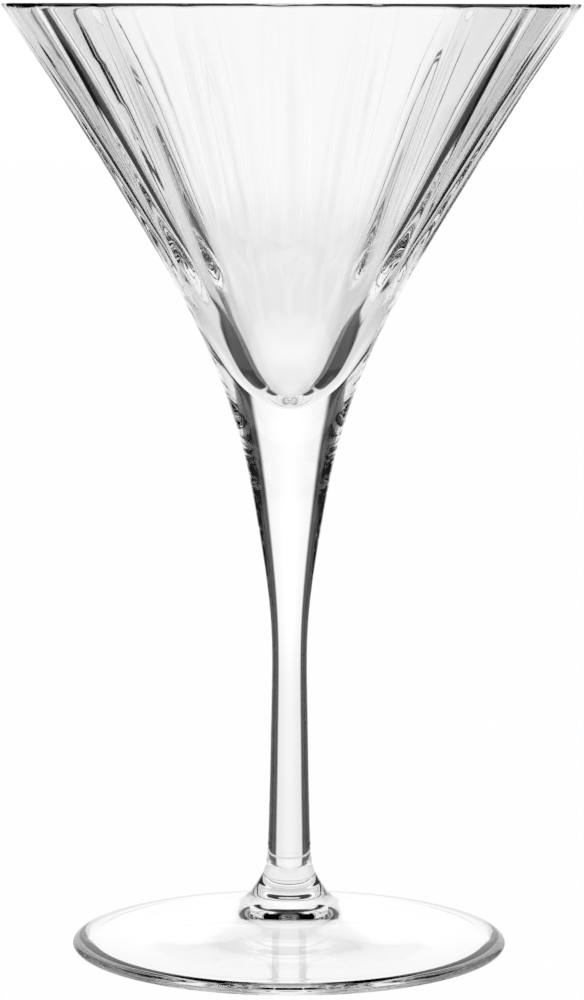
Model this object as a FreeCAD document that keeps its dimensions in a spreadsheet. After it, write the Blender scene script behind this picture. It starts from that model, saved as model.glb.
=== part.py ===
"""Martini glass: a fluted conical bowl on a drawn stem, with a collar and a round foot.

Millimetres. +Z is up, the origin is the centre of the underside of the foot, and the glass
stands on the plane Z = 0. The four pieces of glass meet face to face on flat fused joints.
"""
import FreeCAD
import Part
import Sketcher
import math
import os

FLUTE_COUNT = 20
FULL_TURN = 360.0
DOME = "dome"

# Driving dimensions. Radii are measured from the axis, heights from the plane the foot stands on.
SIZES = {
    # bowl, outside, along the ridges between the flutes
    "glass_height": 185.5,
    "rim_radius": 56.15,
    "wall_bow": 968.0,
    "throat_top_radius": 21.74,
    "throat_top_height": 130.4,
    # the throat is one circular arc, shared by the bottom of the bowl and the top of the stem
    "throat_bend": 123.4,
    "throat_centre_radius": 128.9,
    "throat_centre_height": 69.2,
    # bowl, inside, between the grooves
    "rim_wall": 1.65,
    "lip_bend": 0.9,
    "hollow_floor_radius": 0.8,
    "hollow_floor_height": 108.9,
    "hollow_toe_radius": 4.6,
    "hollow_toe_height": 111.4,
    "hollow_heel_radius": 6.95,
    "hollow_heel_height": 114.7,
    "hollow_throat_radius": 13.4,
    "hollow_throat_height": 126.4,
    "hollow_lower_radius": 23.15,
    "hollow_lower_height": 140.0,
    "hollow_middle_radius": 34.85,
    "hollow_middle_height": 157.0,
    "hollow_upper_radius": 46.8,
    "hollow_upper_height": 174.6,
    # flutes of the outside: hollows that leave a ridge between one and the next
    "flute_ridge_land": 0.1,
    "flute_overrun": 1.0,
    "flute_start_height": 126.0,
    "flute_start_clearance": 0.3,
    "flute_throat_height": 135.8,
    "flute_throat_depth": 0.5,
    "flute_middle_height": 153.0,
    "flute_middle_depth": 1.07,
    "flute_upper_height": 170.0,
    "flute_upper_depth": 1.3,
    "flute_rim_depth": 0.85,
    # grooves of the inside: each runs up behind a ridge
    "groove_start_height": 125.0,
    "groove_start_clearance": 0.3,
    "groove_throat_depth": 0.25,
    "groove_throat_half_width": 1.5,
    "groove_middle_depth": 0.5,
    "groove_middle_half_width": 2.2,
    "groove_upper_depth": 0.6,
    "groove_upper_half_width": 2.4,
    "groove_rim_depth": 0.45,
    "groove_rim_half_width": 2.2,
    # stem
    "bowl_joint_height": 104.0,
    "neck_radius": 7.74,
    "neck_height": 92.7,
    "neck_bend": 370.6,
    "taper_radius": 4.62,
    "taper_height": 74.0,
    "taper_bend": 117.2,
    "waist_radius": 3.45,
    "waist_height": 57.0,
    "ankle_radius": 4.27,
    "ankle_height": 20.0,
    "ankle_bend": 14.0,
    # collar
    "collar_top_radius": 4.95,
    "collar_top_height": 16.0,
    "collar_base_radius": 7.75,
    "collar_base_height": 11.0,
    "collar_bend": 9.5,
    # foot
    "foot_radius": 42.65,
    "foot_edge_thickness": 3.0,
    "foot_edge_bend": 1.7,
    "foot_crown_bend": 120.0,
    "rest_ring_radius": 38.4,
    "underside_middle_radius": 16.1,
    "underside_middle_height": 3.8,
    "underside_rise": 6.2,
    "underside_flat_radius": 2.0,
}


def throat_radius(height):
    """Outside radius of the throat arc at a height."""
    rise = height - SIZES["throat_centre_height"]
    return SIZES["throat_centre_radius"] - math.sqrt(SIZES["throat_bend"] ** 2 - rise ** 2)


def wall_radius(height):
    """Outside radius of the bowl's wall along a ridge: the throat arc, then the bowed cone."""
    if height <= SIZES["throat_top_height"]:
        return throat_radius(height)
    lip_height = SIZES["glass_height"] - bulge(SIZES["lip_bend"], SIZES["rim_wall"])
    run = SIZES["rim_radius"] - SIZES["throat_top_radius"]
    climb = lip_height - SIZES["throat_top_height"]
    chord = math.hypot(run, climb)
    offset = math.sqrt(SIZES["wall_bow"] ** 2 - (chord / 2.0) ** 2)
    middle_radius = (SIZES["throat_top_radius"] + SIZES["rim_radius"]) / 2.0
    centre_radius = middle_radius + offset * climb / chord
    centre_height = (SIZES["throat_top_height"] + lip_height) / 2.0 - offset * run / chord
    return centre_radius - math.sqrt(SIZES["wall_bow"] ** 2 - (height - centre_height) ** 2)


def hollow_radius(height):
    """Radius of the hollow between its grooves, on the straight runs of its outline."""
    runs = [(SIZES["hollow_%s_height" % name], SIZES["hollow_%s_radius" % name])
            for name in ("heel", "throat", "lower", "middle", "upper")]
    for (low, narrow), (high, wide) in zip(runs, runs[1:]):
        if height <= high:
            break
    return narrow + (wide - narrow) * (height - low) / (high - low)


def flute_circle(height, depth):
    """Reach and radius of the circle that cuts one flute into the outside of the wall.

    Neighbouring circles cross a little outside the wall, so each ridge keeps a narrow land.
    """
    wall = wall_radius(height)
    half_pitch = math.pi / FLUTE_COUNT
    crossing = wall + SIZES["flute_ridge_land"]
    half_chord = crossing * math.sin(half_pitch)
    rise = crossing * math.cos(half_pitch) - (wall - depth)
    radius = (half_chord ** 2 + rise ** 2) / (2.0 * rise)
    return wall - depth + radius, radius


def groove_circle(height, depth, half_width):
    """Reach and radius of the circle that cuts one groove into the inside of the wall."""
    radius = (half_width ** 2 + depth ** 2) / (2.0 * depth)
    return hollow_radius(height) + depth - radius, radius


def bulge(bend, chord):
    """How far an arc stands out from its chord."""
    return bend - math.sqrt(bend ** 2 - (chord / 2.0) ** 2)


def derived_sizes():
    """The sizes that follow from the driving dimensions."""
    lip_bulge = bulge(SIZES["lip_bend"], SIZES["rim_wall"])
    edge_bulge = bulge(SIZES["foot_edge_bend"], SIZES["foot_edge_thickness"])
    derived = {
        "lip_height": SIZES["glass_height"] - lip_bulge,
        "hollow_rim_radius": SIZES["rim_radius"] - SIZES["rim_wall"],
        "bowl_joint_radius": throat_radius(SIZES["bowl_joint_height"]),
        "foot_flat_radius": SIZES["foot_radius"] - edge_bulge,
        "flute_top_height": SIZES["glass_height"] + SIZES["flute_overrun"],
    }
    levels = {
        "throat": SIZES["flute_throat_height"],
        "middle": SIZES["flute_middle_height"],
        "upper": SIZES["flute_upper_height"],
        "rim": derived["flute_top_height"],
    }
    for level, height in levels.items():
        reach, radius = flute_circle(height, SIZES["flute_%s_depth" % level])
        derived["flute_%s_reach" % level] = reach
        derived["flute_%s_radius" % level] = radius
        reach, radius = groove_circle(height, SIZES["groove_%s_depth" % level],
                                      SIZES["groove_%s_half_width" % level])
        derived["groove_%s_reach" % level] = reach
        derived["groove_%s_radius" % level] = radius

    # At its lowest level a cutter stands clear of the wall, so the flute or groove runs out.
    start_radius = derived["flute_throat_radius"]
    derived["flute_start_radius"] = start_radius
    derived["flute_start_reach"] = (
        wall_radius(SIZES["flute_start_height"]) + SIZES["flute_start_clearance"] + start_radius)
    start_radius = derived["groove_throat_radius"]
    derived["groove_start_radius"] = start_radius
    derived["groove_start_reach"] = (
        hollow_radius(SIZES["groove_start_height"]) - SIZES["groove_start_clearance"] - start_radius)
    return derived


def make_sheet(doc):
    """Write every size into the document's spreadsheet and return the sizes by alias."""
    values = dict(SIZES)
    values.update(derived_sizes())
    sheet = doc.addObject("Spreadsheet::Sheet", "dims")
    for row, (alias, value) in enumerate(values.items(), start=1):
        sheet.set("A%d" % row, alias)
        sheet.set("B%d" % row, str(value))
        sheet.setAlias("B%d" % row, alias)
    doc.recompute()
    return values


def origin_plane(body, role):
    return next(plane for plane in body.Origin.OriginFeatures if plane.Role == role)


def new_sketch(body, name, role):
    sketch = body.newObject("Sketcher::SketchObject", name)
    sketch.AttachmentSupport = [(origin_plane(body, role), "")]
    sketch.MapMode = "FlatFace"
    return sketch


def bind(sketch, constraint, alias):
    """Add a dimension to a sketch and tie it to a cell of the spreadsheet."""
    index = sketch.addConstraint(constraint)
    sketch.setExpression("Constraints[%d]" % index, "dims." + alias)


def arc_between(start, end, radius, side):
    """The short arc from start to end; side is +1 where its centre is on the left of that way."""
    chord = end - start
    across = FreeCAD.Vector(-chord.y, chord.x, 0.0).normalize()
    offset = math.sqrt(radius ** 2 - (chord.Length / 2.0) ** 2)
    centre = (start + end) / 2.0 + across * (side * offset)
    middle = centre + across * (-side * radius)
    return Part.Arc(start, middle, end)


def dome_radius(start, end):
    """Radius of the arc between two points whose centre is on the axis."""
    centre_height = (start * start - end * end) / (2.0 * (start.y - end.y))
    return math.hypot(start.x, start.y - centre_height)


def draw_outline(sketch, values, corners):
    """Draw a closed outline whose corners and bends are tied to the spreadsheet.

    Each corner is (radius alias, height alias, bend alias, side). An alias of None is a corner on
    the axis or on the standing plane. A bend of None is a straight edge to the next corner, and
    DOME is an arc centred on the axis.
    """
    points = [FreeCAD.Vector(values.get(across, 0.0), values.get(up, 0.0), 0.0)
              for across, up, _, _ in corners]
    following = points[1:] + points[:1]
    for (_, _, bend, side), start, end in zip(corners, points, following):
        if bend is None:
            sketch.addGeometry(Part.LineSegment(start, end), False)
        else:
            radius = dome_radius(start, end) if bend is DOME else values[bend]
            sketch.addGeometry(arc_between(start, end, radius, side), False)

    # Arcs run anticlockwise in a sketch, so a clockwise one has its two ends the other way round.
    first_end, last_end = [], []
    for _, _, bend, side in corners:
        clockwise = bend is not None and side < 0
        first_end.append(2 if clockwise else 1)
        last_end.append(1 if clockwise else 2)

    count = len(corners)
    for edge, (across, up, bend, _) in enumerate(corners):
        after = (edge + 1) % count
        sketch.addConstraint(Sketcher.Constraint(
            "Coincident", edge, last_end[edge], after, first_end[after]))
        if across is None:
            sketch.addConstraint(Sketcher.Constraint("PointOnObject", edge, first_end[edge], -2))
        else:
            bind(sketch, Sketcher.Constraint(
                "DistanceX", -1, 1, edge, first_end[edge], values[across]), across)
        if up is None:
            sketch.addConstraint(Sketcher.Constraint("PointOnObject", edge, first_end[edge], -1))
        else:
            bind(sketch, Sketcher.Constraint(
                "DistanceY", -1, 1, edge, first_end[edge], values[up]), up)
        if bend is DOME:
            sketch.addConstraint(Sketcher.Constraint("PointOnObject", edge, 3, -2))
        elif bend is not None:
            bind(sketch, Sketcher.Constraint("Radius", edge, values[bend]), bend)


def revolved_body(doc, values, name, corners):
    """A piece of glass turned about the Z axis from its outline."""
    body = doc.addObject("PartDesign::Body", name)
    body.Label = name
    sketch = new_sketch(body, name + "_outline", "XZ_Plane")
    draw_outline(sketch, values, corners)
    turned = body.newObject("PartDesign::Revolution", name + "_turned")
    turned.Profile = sketch
    turned.ReferenceAxis = (sketch, ["V_Axis"])
    turned.Angle = FULL_TURN
    body.Tip = turned
    doc.recompute()
    return body


def cutter_section(body, values, cutter, level, height):
    """One level of a cutter: a circle that stands off the axis."""
    reach, radius = "%s_%s_reach" % (cutter, level), "%s_%s_radius" % (cutter, level)
    sketch = new_sketch(body, "%s_%s" % (cutter, level), "XY_Plane")
    sketch.setExpression("AttachmentOffset.Base.z", "dims." + height)
    centre = FreeCAD.Vector(values[reach], 0.0, 0.0)
    sketch.addGeometry(Part.Circle(centre, FreeCAD.Vector(0, 0, 1), values[radius]), False)
    sketch.addConstraint(Sketcher.Constraint("PointOnObject", 0, 3, -1))
    bind(sketch, Sketcher.Constraint("DistanceX", -1, 1, 0, 3, values[reach]), reach)
    bind(sketch, Sketcher.Constraint("Radius", 0, values[radius]), radius)
    return sketch


def cut_around(doc, body, values, cutter, turn):
    """Cut one flute or groove up the wall, then repeat it round the bowl."""
    volume_before = body.Shape.Volume
    sections = [
        cutter_section(body, values, cutter, level, height)
        for level, height in (("start", cutter + "_start_height"), ("throat", "flute_throat_height"),
                              ("middle", "flute_middle_height"), ("upper", "flute_upper_height"),
                              ("rim", "flute_top_height"))
    ]
    for section in sections:
        section.AttachmentOffset = FreeCAD.Placement(
            section.AttachmentOffset.Base, FreeCAD.Rotation(FreeCAD.Vector(0, 0, 1), turn))
    cut = body.newObject("PartDesign::SubtractiveLoft", cutter)
    cut.Profile = sections[0]
    cut.Sections = sections[1:]
    cut.Ruled = True
    body.Tip = cut
    doc.recompute()

    pattern = body.newObject("PartDesign::PolarPattern", cutter + "s")
    pattern.Originals = [cut]
    pattern.Axis = (sections[0], ["N_Axis"])
    pattern.Angle = FULL_TURN
    pattern.Occurrences = FLUTE_COUNT
    body.Tip = pattern
    doc.recompute()
    if body.Shape.Volume >= volume_before:
        raise RuntimeError("the %ss cut nothing out of the bowl" % cutter)


def make_bowl(doc, values):
    """The cone of the bowl with its rounded lip, its hollow, and a wall fluted on both sides."""
    body = revolved_body(doc, values, "bowl", [
        (None, "bowl_joint_height", None, 0),
        ("bowl_joint_radius", "bowl_joint_height", "throat_bend", -1),
        ("throat_top_radius", "throat_top_height", "wall_bow", -1),
        ("rim_radius", "lip_height", "lip_bend", 1),
        ("hollow_rim_radius", "lip_height", None, 0),
        ("hollow_upper_radius", "hollow_upper_height", None, 0),
        ("hollow_middle_radius", "hollow_middle_height", None, 0),
        ("hollow_lower_radius", "hollow_lower_height", None, 0),
        ("hollow_throat_radius", "hollow_throat_height", None, 0),
        ("hollow_heel_radius", "hollow_heel_height", None, 0),
        ("hollow_toe_radius", "hollow_toe_height", DOME, -1),
        ("hollow_floor_radius", "hollow_floor_height", None, 0),
        (None, "hollow_floor_height", None, 0),
    ])
    # A ridge and the groove behind it face -Y, so the first flute is turned half a pitch.
    cut_around(doc, body, values, "flute", FULL_TURN / FLUTE_COUNT / 2.0)
    cut_around(doc, body, values, "groove", 0.0)
    return body


def make_stem(doc, values):
    """The drawn stem: wide where it leaves the bowl, narrowest at its waist, flared at its foot."""
    return revolved_body(doc, values, "stem", [
        (None, "collar_top_height", None, 0),
        ("collar_top_radius", "collar_top_height", "ankle_bend", -1),
        ("ankle_radius", "ankle_height", None, 0),
        ("waist_radius", "waist_height", "taper_bend", -1),
        ("taper_radius", "taper_height", "neck_bend", -1),
        ("neck_radius", "neck_height", "throat_bend", -1),
        ("bowl_joint_radius", "bowl_joint_height", None, 0),
        (None, "bowl_joint_height", None, 0),
    ])


def make_collar(doc, values):
    """The button of glass that joins the stem to the foot."""
    return revolved_body(doc, values, "collar", [
        (None, "collar_base_height", None, 0),
        ("collar_base_radius", "collar_base_height", "collar_bend", -1),
        ("collar_top_radius", "collar_top_height", None, 0),
        (None, "collar_top_height", None, 0),
    ])


def make_foot(doc, values):
    """The round foot: domed above, hollow below, resting on a flat outer ring."""
    return revolved_body(doc, values, "foot", [
        (None, "underside_rise", None, 0),
        ("underside_flat_radius", "underside_rise", DOME, -1),
        ("underside_middle_radius", "underside_middle_height", None, 0),
        ("rest_ring_radius", None, None, 0),
        ("foot_flat_radius", None, "foot_edge_bend", 1),
        ("foot_flat_radius", "foot_edge_thickness", "foot_crown_bend", -1),
        ("collar_base_radius", "collar_base_height", None, 0),
        (None, "collar_base_height", None, 0),
    ])


def check(doc, bodies):
    for obj in doc.Objects:
        if "Invalid" in obj.State or "Error" in obj.State:
            raise RuntimeError("%s failed: %s" % (obj.Name, obj.State))
    for body in bodies:
        if body.Shape.isNull() or not body.Shape.isValid():
            raise RuntimeError("%s has no valid shape" % body.Label)


def main():
    doc = FreeCAD.newDocument("martini_glass")
    values = make_sheet(doc)
    bodies = [make(doc, values) for make in (make_bowl, make_stem, make_collar, make_foot)]
    doc.recompute()
    check(doc, bodies)
    os.makedirs("parts", exist_ok=True)
    for body in bodies:
        body.Shape.exportStep("parts/%s.step" % body.Label)
        print(body.Label, round(body.Shape.Volume), body.Shape.BoundBox)


main()
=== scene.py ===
"""Looks of the martini glass: polished clear glass in a photographer's bright-field studio.

Metres, in the frame of the CAD model. The four pieces of glass are turned meshes that take their
places from the CAD boxes. They share flat fused joints, which light crosses without a trace.
"""

import math

import bpy
import numpy as np
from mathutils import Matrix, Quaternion, Vector


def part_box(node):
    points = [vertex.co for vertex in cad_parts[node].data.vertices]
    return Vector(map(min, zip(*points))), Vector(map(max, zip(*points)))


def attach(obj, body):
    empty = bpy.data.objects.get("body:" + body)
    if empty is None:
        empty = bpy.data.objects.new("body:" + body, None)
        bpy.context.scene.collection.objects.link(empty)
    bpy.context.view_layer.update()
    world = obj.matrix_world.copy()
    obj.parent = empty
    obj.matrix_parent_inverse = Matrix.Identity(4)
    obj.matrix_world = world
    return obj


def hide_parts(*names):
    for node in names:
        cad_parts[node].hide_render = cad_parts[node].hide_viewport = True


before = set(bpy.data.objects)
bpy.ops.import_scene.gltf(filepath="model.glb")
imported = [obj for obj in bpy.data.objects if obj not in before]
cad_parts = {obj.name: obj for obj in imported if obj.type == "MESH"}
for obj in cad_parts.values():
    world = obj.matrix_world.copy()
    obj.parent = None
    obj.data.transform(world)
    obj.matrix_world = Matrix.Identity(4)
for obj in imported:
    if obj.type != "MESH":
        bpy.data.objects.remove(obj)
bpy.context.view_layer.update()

# Sizes read from the frame ------------------------------------------------------------------

BOWL_LOW, BOWL_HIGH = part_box("bowl")
STEM_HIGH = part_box("stem")[1]
COLLAR_LOW, COLLAR_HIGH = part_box("collar")
FOOT_LOW, FOOT_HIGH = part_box("foot")

RIM_HEIGHT = BOWL_HIGH[2]
BOWL_JOINT_HEIGHT = BOWL_LOW[2]
BOWL_HEIGHT = RIM_HEIGHT - BOWL_JOINT_HEIGHT
STEM_TOP_RADIUS = STEM_HIGH[0]
COLLAR_TOP_HEIGHT = COLLAR_HIGH[2]
COLLAR_BASE_HEIGHT = COLLAR_LOW[2]
COLLAR_BASE_RADIUS = COLLAR_HIGH[0]
STEM_HEIGHT = BOWL_JOINT_HEIGHT - COLLAR_TOP_HEIGHT
FOOT_RADIUS = max(FOOT_HIGH[:2])

# Shape --------------------------------------------------------------------------------------

FLUTE_COUNT = 20
FLUTE_STEPS = 24
BOWL_STEPS = FLUTE_COUNT * FLUTE_STEPS
ROUND_STEPS = BOWL_STEPS // 2
MM = 0.001

# Rings of points up each piece.
WALL_RINGS = 170
LIP_RINGS = 14
STEM_RINGS = 200
COLLAR_RINGS = 12
FOOT_RINGS = 70
FOOT_EDGE_RINGS = 24
# The hollow's rings crowd towards its floor by this power.
HOLLOW_CROWDING = 1.8

LIP_RISE = 0.75 * MM
RIDGE_HALF_WIDTH = 2.2 * MM
# The most that half a ridge may take of half a flute's pitch, low down where the pitch is small.
WIDEST_RIDGE = 0.8
# Depth of the flutes against the share of the bowl's height: shares, then millimetres.
OUTER_FLUTE_DEPTHS = ([0.28, 0.34, 0.39, 0.44, 0.53, 0.65, 0.77, 0.87, 0.97, 1.00],
                      [0.00, 0.15, 0.50, 0.80, 0.95, 1.20, 1.35, 1.25, 0.90, 0.80])
INNER_FLUTE_DEPTHS = ([0.26, 0.34, 0.39, 0.44, 0.53, 0.65, 0.77, 0.87, 0.97, 1.00],
                      [0.00, 0.08, 0.22, 0.35, 0.45, 0.55, 0.60, 0.60, 0.50, 0.45])


def natural_spline(points):
    """A smooth curve through (knot, value) points, as a function of the knot coordinate."""
    x, y = np.array(points, float).T
    count = len(x)
    step = np.diff(x)
    matrix = np.eye(count)
    rhs = np.zeros(count)
    for i in range(1, count - 1):
        matrix[i, i - 1] = step[i - 1]
        matrix[i, i] = 2.0 * (step[i - 1] + step[i])
        matrix[i, i + 1] = step[i]
        rhs[i] = 3.0 * ((y[i + 1] - y[i]) / step[i] - (y[i] - y[i - 1]) / step[i - 1])
    bend = np.linalg.solve(matrix, rhs)
    twist = np.diff(bend) / (3.0 * step)
    slope = np.diff(y) / step - step * (2.0 * bend[:-1] + bend[1:]) / 3.0

    def curve(at):
        at = np.asarray(at, float)
        i = np.clip(np.searchsorted(x, at) - 1, 0, count - 2)
        d = at - x[i]
        return y[i] + slope[i] * d + bend[i] * d ** 2 + twist[i] * d ** 3

    return curve


# The outside of the stem and bowl is one curve. Heights are shares of the stem below the bowl
# joint and of the bowl above it (0 at the joint, -1 at the collar, +1 at the rim); radii are
# shares of the stem's top radius.
OUTLINE = natural_spline([
    (-1.0000, 0.4695),
    (-0.9886, 0.4400),
    (-0.9750, 0.4219),
    (-0.9545, 0.4067),
    (-0.9091, 0.3924),
    (-0.8239, 0.3724),
    (-0.6875, 0.3486),
    (-0.5966, 0.3333),
    (-0.5341, 0.3286),
    (-0.4773, 0.3371),
    (-0.4159, 0.3676),
    (-0.3705, 0.4076),
    (-0.3261, 0.4571),
    (-0.2807, 0.5143),
    (-0.2364, 0.5752),
    (-0.1466, 0.7057),
    (-0.1023, 0.7781),
    (-0.0568, 0.8648),
    (0.0000, 1.0000),
    (0.0834, 1.2171),
    (0.1558, 1.4400),
    (0.2270, 1.6876),
    (0.3239, 2.0781),
    (0.4417, 2.6048),
    (0.5840, 3.2724),
    (0.7264, 3.9638),
    (0.8675, 4.6648),
    (1.0000, 5.3476),
])


def outside_radius(height):
    above = (height - BOWL_JOINT_HEIGHT) / BOWL_HEIGHT
    below = (height - BOWL_JOINT_HEIGHT) / STEM_HEIGHT
    return STEM_TOP_RADIUS * OUTLINE(np.where(height > BOWL_JOINT_HEIGHT, above, below))


# The ridge line of the hollow: millimetres above the bowl joint, and radius in millimetres.
# The spline runs through the squares, which makes the bottom round.
HOLLOW_LINE = [
    (4.8, 0.00),
    (7.4, 4.60),
    (10.7, 6.95),
    (14.7, 9.00),
    (18.5, 11.00),
    (22.4, 13.40),
    (26.0, 15.90),
    (31.0, 19.60),
    (36.0, 23.50),
    (43.4, 28.89),
    (53.0, 35.42),
    (62.8, 42.10),
    (70.6, 47.41),
    (76.0, 51.13),
    (81.5, 54.95),
]
HOLLOW_SQUARES = natural_spline([(MM * z, (MM * r) ** 2) for z, r in HOLLOW_LINE])
HOLLOW_FLOOR = BOWL_JOINT_HEIGHT + MM * HOLLOW_LINE[0][0]


def hollow_radius(height):
    return math.sqrt(max(float(HOLLOW_SQUARES(height - BOWL_JOINT_HEIGHT)), 0.0))


def angles(steps):
    """Angles round the axis, from the side of the glass that faces -Y."""
    return np.arange(steps) * (2.0 * math.pi / steps)


def flute_wave(radius):
    """0 on the ridges and 1 in the middle of the flutes, with a ridge on the -Y side."""
    reach = min(RIDGE_HALF_WIDTH / (math.pi * radius / FLUTE_COUNT), WIDEST_RIDGE)
    sharpness = math.log(0.5) / math.log((1.0 + math.cos(math.pi * reach)) / 2.0)
    return 1.0 - ((1.0 + np.cos(angles(BOWL_STEPS) * FLUTE_COUNT)) / 2.0) ** sharpness


def ring(radius, height, steps):
    """One ring of points; radius is a number or one number for each step."""
    turn = angles(steps)
    radius = np.broadcast_to(radius, steps)
    height = np.broadcast_to(height, steps)
    return np.stack([radius * np.sin(turn), -radius * np.cos(turn), height], 1)


def turned_piece(name, rings, neutral_start=False, neutral_end=False):
    """A closed mesh through the rings, shut at both ends by a fan of triangles to the axis.

    A neutral end is a fused joint: it gets the second material and a sharp edge.
    """
    steps = len(rings[0])
    count = len(rings)
    body = np.concatenate(rings)
    poles = np.array([[0.0, 0.0, rings[0][:, 2].mean()], [0.0, 0.0, rings[-1][:, 2].mean()]])
    points = np.concatenate([body, poles])
    index = np.arange(count * steps).reshape(count, steps)
    beside = np.roll(index, -1, axis=1)
    quads = np.stack([index[:-1], beside[:-1], beside[1:], index[1:]], -1).reshape(-1, 4)
    first = [(int(b), int(a), count * steps) for a, b in zip(index[0], beside[0])]
    last = [(int(a), int(b), count * steps + 1) for a, b in zip(index[-1], beside[-1])]

    mesh = bpy.data.meshes.new(name)
    mesh.from_pydata(points.tolist(), [], quads.tolist() + first + last)
    mesh.validate()
    mesh.polygons.foreach_set("use_smooth", [True] * len(mesh.polygons))
    slots = np.zeros(len(mesh.polygons), np.int32)
    slots[len(quads):len(quads) + steps] = int(neutral_start)
    slots[len(quads) + steps:] = int(neutral_end)
    mesh.polygons.foreach_set("material_index", slots)

    ends = [index[0]] * neutral_start + [index[-1]] * neutral_end
    sharp = {tuple(sorted(map(int, pair))) for end in ends for pair in zip(end, np.roll(end, -1))}
    for edge in mesh.edges:
        if tuple(sorted(edge.vertices)) in sharp:
            edge.use_edge_sharp = True

    piece = bpy.data.objects.new(name, mesh)
    bpy.context.scene.collection.objects.link(piece)
    return piece


def make_bowl():
    """The fluted cone: the outside from the joint up, the lip, then the hollow to its floor.

    The lip leans out with the wall.
    """
    lip_base = RIM_HEIGHT - LIP_RISE

    def outer(height):
        share = (height - BOWL_JOINT_HEIGHT) / BOWL_HEIGHT
        radius = float(outside_radius(height))
        return radius - MM * np.interp(share, *OUTER_FLUTE_DEPTHS) * flute_wave(radius)

    def inner(height):
        share = (height - BOWL_JOINT_HEIGHT) / BOWL_HEIGHT
        depth = MM * np.interp(share, *INNER_FLUTE_DEPTHS)
        return hollow_radius(height) - depth * flute_wave(float(outside_radius(height)))

    rings = [ring(outer(h), h, BOWL_STEPS)
             for h in np.linspace(BOWL_JOINT_HEIGHT, lip_base, WALL_RINGS)]
    outside, inside = outer(lip_base), inner(lip_base)
    lean = (outside - outer(lip_base - MM)) / MM
    for turn in np.linspace(0.0, math.pi, LIP_RINGS)[1:-1]:
        rise = LIP_RISE * math.sin(turn)
        middle, half = (outside + inside) / 2.0, (outside - inside) / 2.0
        radius = middle + half * math.cos(turn) + lean * rise
        rings.append(ring(radius, lip_base + rise, BOWL_STEPS))
    for share in np.linspace(1.0, 0.0, WALL_RINGS)[:-1]:
        height = HOLLOW_FLOOR + (lip_base - HOLLOW_FLOOR) * share ** HOLLOW_CROWDING
        rings.append(ring(inner(height), height, BOWL_STEPS))
    return turned_piece("bowl_glass", rings, neutral_start=True)


def make_stem():
    """The drawn stem, from the top of the collar to the bowl."""
    heights = np.linspace(COLLAR_TOP_HEIGHT, BOWL_JOINT_HEIGHT, STEM_RINGS)
    rings = [ring(outside_radius(h), h, ROUND_STEPS) for h in heights]
    return turned_piece("stem_glass", rings, neutral_start=True, neutral_end=True)


# How far the collar flares out to its base radius, against the share of its height.
COLLAR_FLARE = natural_spline([
    (0.00, 1.000),
    (0.18, 0.810),
    (0.34, 0.617),
    (0.50, 0.422),
    (0.70, 0.220),
    (0.90, 0.053),
    (1.00, 0.000),
])


def make_collar():
    """The button under the stem, flaring down on to the foot."""
    top_radius = float(outside_radius(COLLAR_TOP_HEIGHT))
    rings = []
    for share in np.linspace(0.0, 1.0, COLLAR_RINGS):
        radius = top_radius + (COLLAR_BASE_RADIUS - top_radius) * float(COLLAR_FLARE(share))
        height = COLLAR_BASE_HEIGHT + (COLLAR_TOP_HEIGHT - COLLAR_BASE_HEIGHT) * share
        rings.append(ring(radius, height, ROUND_STEPS))
    return turned_piece("collar_glass", rings, neutral_start=True, neutral_end=True)


FOOT_EDGE_THICKNESS = 3.0 * MM
FOOT_EDGE_REACH = 4.0 * MM
REST_RING_SHARE = 0.90
# Height of the hollow under the foot in millimetres, against the share of the rest ring's radius.
# The knots at -0.2 and 0.2 make it flat in the middle.
UNDERSIDE = natural_spline([
    (-0.20, 5.80),
    (0.00, 6.20),
    (0.20, 5.80),
    (0.30, 4.95),
    (0.42, 3.80),
    (0.64, 2.30),
    (0.85, 1.00),
    (1.00, 0.00),
])
# Height of the foot's top in millimetres, from the collar's edge (0) to the round edge (1).
CROWN = natural_spline([
    (0.00, 11.00),
    (0.05, 9.95),
    (0.12, 9.05),
    (0.25, 7.70),
    (0.50, 5.90),
    (0.75, 4.40),
    (1.00, 3.00),
])


def make_foot():
    """The foot: the hollow below, the flat rest ring, the round edge, the domed top."""
    rest = FOOT_RADIUS * REST_RING_SHARE
    edge_height = FOOT_EDGE_THICKNESS / 2.0
    flat = FOOT_RADIUS - FOOT_EDGE_REACH
    rings = []
    for share in np.linspace(0.0, 1.0, FOOT_RINGS)[1:]:
        rings.append(ring(rest * share, MM * float(UNDERSIDE(share)), ROUND_STEPS))
    rings.append(ring(flat, 0.0, ROUND_STEPS))
    for turn in np.linspace(-math.pi / 2.0, math.pi / 2.0, FOOT_EDGE_RINGS)[1:]:
        rings.append(ring(flat + FOOT_EDGE_REACH * math.cos(turn),
                          edge_height + edge_height * math.sin(turn), ROUND_STEPS))
    for share in np.linspace(1.0, 0.0, FOOT_RINGS)[1:]:
        radius = COLLAR_BASE_RADIUS + (flat - COLLAR_BASE_RADIUS) * share
        rings.append(ring(radius, MM * float(CROWN(share)), ROUND_STEPS))
    return turned_piece("foot_glass", rings, neutral_end=True)


# Materials ----------------------------------------------------------------------------------

# Striae in the glass: how many to a radian round the axis, and to a metre of height.
STRIAE_AROUND = 6.0
STRIAE_ALONG = 22.0
STRIAE_DEPTH = 0.006 * MM
STRIAE_DETAIL = 2.0
GLASS_IOR = 1.52
WHITE = (1.0, 1.0, 1.0, 1.0)


def new_material(name):
    material = bpy.data.materials.new(name)
    material.use_nodes = True
    material.node_tree.nodes.clear()
    return material, material.node_tree.nodes, material.node_tree.links


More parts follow.
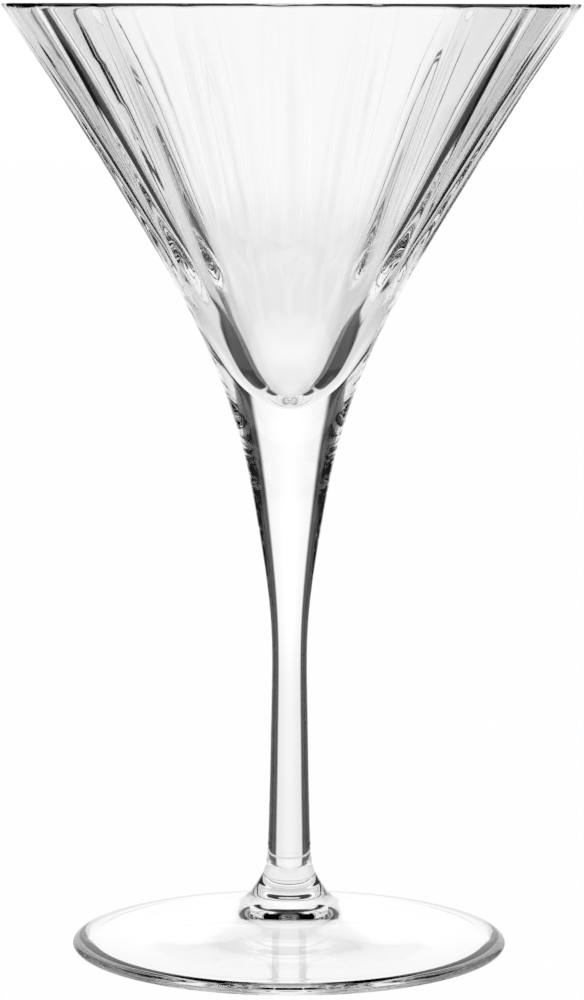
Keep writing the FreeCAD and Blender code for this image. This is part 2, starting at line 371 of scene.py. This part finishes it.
def clear_glass():
    """Fire-polished glass. Faint striae run up the walls, as its drawing and turning left them."""
    material, nodes, links = new_material("clear_glass")

    def vector_maths(operation, *inputs):
        node = nodes.new("ShaderNodeVectorMath")
        node.operation = operation
        for value, socket in zip(inputs, node.inputs):
            if isinstance(value, tuple):
                socket.default_value = value
            else:
                links.new(value, socket)
        return node.outputs["Vector"]

    # The noise is laid out by the direction from the axis, so each stria keeps to one meridian.
    place = nodes.new("ShaderNodeTexCoord").outputs["Object"]
    meridian = vector_maths("NORMALIZE", vector_maths("MULTIPLY", place, (1.0, 1.0, 0.0)))
    around = vector_maths("MULTIPLY", meridian, (STRIAE_AROUND, STRIAE_AROUND, 0.0))
    striae = nodes.new("ShaderNodeTexNoise")
    striae.inputs["Scale"].default_value = 1.0
    striae.inputs["Detail"].default_value = STRIAE_DETAIL
    links.new(vector_maths("MULTIPLY_ADD", place, (0.0, 0.0, STRIAE_ALONG), around),
              striae.inputs["Vector"])
    ripple = nodes.new("ShaderNodeBump")
    ripple.inputs["Strength"].default_value = 1.0
    ripple.inputs["Distance"].default_value = STRIAE_DEPTH
    links.new(striae.outputs["Fac"], ripple.inputs["Height"])

    output = nodes.new("ShaderNodeOutputMaterial")
    glass = nodes.new("ShaderNodeBsdfPrincipled")
    glass.inputs["Base Color"].default_value = WHITE
    glass.inputs["Transmission Weight"].default_value = 1.0
    glass.inputs["Roughness"].default_value = 0.0
    glass.inputs["IOR"].default_value = GLASS_IOR
    links.new(ripple.outputs["Normal"], glass.inputs["Normal"])
    links.new(glass.outputs["BSDF"], output.inputs["Surface"])
    return material


def fused_joint():
    """The weld between two pieces: the glass is one body there, so light goes straight through."""
    material, nodes, links = new_material("fused_joint")
    output = nodes.new("ShaderNodeOutputMaterial")
    clear = nodes.new("ShaderNodeBsdfTransparent")
    links.new(clear.outputs["BSDF"], output.inputs["Surface"])
    return material


def make_glow(nodes, links, strength):
    """White light from the surface; strength is the socket that gives its brightness."""
    output = nodes.new("ShaderNodeOutputMaterial")
    glow = nodes.new("ShaderNodeEmission")
    glow.inputs["Color"].default_value = WHITE
    links.new(strength, glow.inputs["Strength"])
    links.new(glow.outputs["Emission"], output.inputs["Surface"])


# Studio -------------------------------------------------------------------------------------

# The panel's brightness falls off between two azimuths, two sines of height above and two below,
# and the room's comes up between two azimuths. Azimuths are counted from the panel's middle.
BACKDROP_RADIUS = 20.0
BACKDROP_RINGS = 90
BACKDROP_REACH_DEGREES = 88.0
PANEL_EDGE = (math.radians(25.5), math.radians(31.5))
PANEL_TOP = (math.sin(math.radians(36.0)), math.sin(math.radians(44.0)))
PANEL_FOOT = (math.sin(math.radians(4.0)), math.sin(math.radians(14.0)))
PANEL_STRENGTH = 1.04
PANEL_SIDE_SHADE = 0.90
PANEL_FOOT_SHADE = 0.86
DARKNESS = 0.012
FLAG_END = (math.radians(72.0), math.radians(82.0))
ROOM_SHADE = 0.95

# The floor: its size, how far its two layers lie under the glass, the ring of dim light in shares
# of the foot's radius, and the paper.
FLOOR_RADIUS = 4.0
SWEEP_DROP = 0.3 * MM
BOUNCE_DROP = 0.15 * MM
BOUNCE_REACH = (0.95, 1.25)
BOUNCE_STRENGTH = 0.68
PAPER_FIBRE_SCALE = 55.0
PAPER_FIBRE_DETAIL = 4.0
PAPER_SHADE = 0.985

# The camera: metres, and pixels of a picture 1000 high.
CAMERA_DISTANCE = 0.795
CAMERA_TURN = math.radians(2.05)
CAMERA_ROLL = math.radians(0.12)
CAMERA_YAW = math.radians(0.03)
FOCAL_PIXELS = 4100.0
FRAME_LONG_SIDE = 1000.0
SENSOR_SIZE = 36.0
AIM_BELOW_RIM = 496.5

LIGHT_BOUNCES = 32
GLOSS_BOUNCES = 12


def make_camera():
    """Level with the rim and tilted down to the foot, like a product photographer's long lens."""
    camera = bpy.data.cameras.new("camera")
    camera.sensor_width = SENSOR_SIZE
    camera.lens = FOCAL_PIXELS / FRAME_LONG_SIDE * SENSOR_SIZE
    holder = bpy.data.objects.new("camera", camera)
    bpy.context.scene.collection.objects.link(holder)
    away = Vector((-math.sin(CAMERA_TURN), math.cos(CAMERA_TURN), 0.0))
    holder.location = Vector((0.0, 0.0, RIM_HEIGHT)) - away * CAMERA_DISTANCE
    tilt = math.atan(AIM_BELOW_RIM / FOCAL_PIXELS)
    yawed = away.copy()
    yawed.rotate(Quaternion((0.0, 0.0, 1.0), -CAMERA_YAW))
    aim = yawed * math.cos(tilt) - Vector((0.0, 0.0, math.sin(tilt)))
    holder.rotation_mode = "QUATERNION"
    roll = Quaternion((0.0, 0.0, 1.0), CAMERA_ROLL)
    holder.rotation_quaternion = aim.to_track_quat("-Z", "Y") @ roll
    bpy.context.scene.camera = holder


def backdrop_light():
    """A bright panel, softly shaded to its edges, a dark flag on each side and the room beyond."""
    material, nodes, links = new_material("backdrop_light")

    def maths(operation, first, second=None):
        node = nodes.new("ShaderNodeMath")
        node.operation = operation
        links.new(first, node.inputs[0])
        if isinstance(second, float):
            node.inputs[1].default_value = second
        elif second is not None:
            links.new(second, node.inputs[1])
        return node.outputs[0]

    def falloff(value, start, end, after, before=1.0):
        """Brightness that is `before` up to the start and `after` from the end on."""
        node = nodes.new("ShaderNodeMapRange")
        node.interpolation_type = "SMOOTHSTEP"
        links.new(value, node.inputs["Value"])
        node.inputs["From Min"].default_value = start
        node.inputs["From Max"].default_value = end
        node.inputs["To Min"].default_value = before
        node.inputs["To Max"].default_value = after
        return node.outputs["Result"]

    split = nodes.new("ShaderNodeSeparateXYZ")
    links.new(nodes.new("ShaderNodeTexCoord").outputs["Object"], split.inputs[0])
    sideways = maths("ABSOLUTE", maths("ARCTAN2", split.outputs["X"], split.outputs["Y"]))
    rise = maths("DIVIDE", split.outputs["Z"], BACKDROP_RADIUS)
    edges = falloff(sideways, *PANEL_EDGE, DARKNESS)
    top = falloff(rise, *PANEL_TOP, DARKNESS)
    middle = falloff(sideways, 0.0, PANEL_EDGE[0], PANEL_SIDE_SHADE)
    foot = falloff(maths("MULTIPLY", rise, -1.0), *PANEL_FOOT, PANEL_FOOT_SHADE)
    upright = maths("MULTIPLY", top, foot)
    panel = maths("MULTIPLY", maths("MULTIPLY", edges, middle), upright)
    room = maths("MULTIPLY", falloff(sideways, *FLAG_END, ROOM_SHADE, before=0.0), upright)
    shading = maths("MAXIMUM", panel, room)
    make_glow(nodes, links, maths("MULTIPLY", shading, PANEL_STRENGTH))
    return material


def make_backdrop():
    """Bright-field lighting: a far shell that only the glass sees, and that stands still.

    Its panel is behind the glass as the photograph sees it, with a black flag on each side of the
    panel. The rest is a white room.
    """
    reach = BACKDROP_REACH_DEGREES
    tilts = np.radians(np.linspace(-reach, reach, BACKDROP_RINGS))
    shell = turned_piece("backdrop", [ring(BACKDROP_RADIUS * math.cos(tilt),
                                           BACKDROP_RADIUS * math.sin(tilt), ROUND_STEPS)
                                      for tilt in tilts])
    shell.data.materials.append(backdrop_light())
    shell.visible_camera = False
    shell.rotation_euler.z = CAMERA_TURN


def make_white_room():
    """What the camera sees round the glass: plain white."""
    world = bpy.data.worlds.new("white_room")
    bpy.context.scene.world = world
    world.use_nodes = True
    background = world.node_tree.nodes["Background"]
    background.inputs["Color"].default_value = WHITE
    background.inputs["Strength"].default_value = 1.0


def glowing_paper(name, strength):
    """White backing paper, evenly lit, with the faint cloud of its fibres."""
    material, nodes, links = new_material(name)
    place = nodes.new("ShaderNodeTexCoord")
    fibres = nodes.new("ShaderNodeTexNoise")
    fibres.inputs["Scale"].default_value = PAPER_FIBRE_SCALE
    fibres.inputs["Detail"].default_value = PAPER_FIBRE_DETAIL
    links.new(place.outputs["Object"], fibres.inputs["Vector"])
    shade = nodes.new("ShaderNodeMapRange")
    shade.inputs["To Min"].default_value = PAPER_SHADE * strength
    shade.inputs["To Max"].default_value = strength
    links.new(fibres.outputs["Fac"], shade.inputs["Value"])
    make_glow(nodes, links, shade.outputs["Result"])
    return material


def make_disc(name, inner, outer, height, material):
    """A flat ring of paper, or a whole disc where its inner radius is nothing."""
    edge = ring(outer, 0.0, ROUND_STEPS)
    if inner:
        points = np.concatenate([ring(inner, 0.0, ROUND_STEPS), edge])
        near = np.arange(ROUND_STEPS)
        beside = np.roll(near, -1)
        faces = np.stack([near, near + ROUND_STEPS, beside + ROUND_STEPS, beside], -1).tolist()
    else:
        points, faces = edge, [tuple(range(ROUND_STEPS))]
    mesh = bpy.data.meshes.new(name)
    mesh.from_pydata(points.tolist(), [], faces)
    mesh.materials.append(material)
    disc = bpy.data.objects.new(name, mesh)
    disc.location.z = height
    bpy.context.scene.collection.objects.link(disc)
    return disc


def make_floor():
    """A pale sweep for the camera, and the dim light that the paper gives back to the foot's edge.

    The glass doesn't see the sweep, which would wash out its dark edges. It sees the dim ring
    instead, and the camera doesn't.
    """
    sweep = make_disc("floor", 0.0, FLOOR_RADIUS, FOOT_LOW[2] - SWEEP_DROP,
                      glowing_paper("pale_floor", 1.0))
    sweep.visible_transmission = False
    sweep.visible_glossy = False
    bounce = make_disc("floor_bounce", FOOT_RADIUS * BOUNCE_REACH[0], FOOT_RADIUS * BOUNCE_REACH[1],
                       FOOT_LOW[2] - BOUNCE_DROP, glowing_paper("dim_floor", BOUNCE_STRENGTH))
    bounce.visible_camera = False


def main():
    make_camera()
    make_backdrop()
    make_white_room()
    make_floor()
    glass, joint = clear_glass(), fused_joint()
    pieces = {"bowl": make_bowl(), "stem": make_stem(),
              "collar": make_collar(), "foot": make_foot()}
    for node, piece in pieces.items():
        piece.data.materials.append(glass)
        piece.data.materials.append(joint)
        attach(piece, "root")
        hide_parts(node)

    scene = bpy.context.scene
    scene.view_settings.view_transform = "Standard"
    scene.cycles.max_bounces = LIGHT_BOUNCES
    scene.cycles.transmission_bounces = LIGHT_BOUNCES
    scene.cycles.transparent_max_bounces = LIGHT_BOUNCES
    scene.cycles.glossy_bounces = GLOSS_BOUNCES


main()
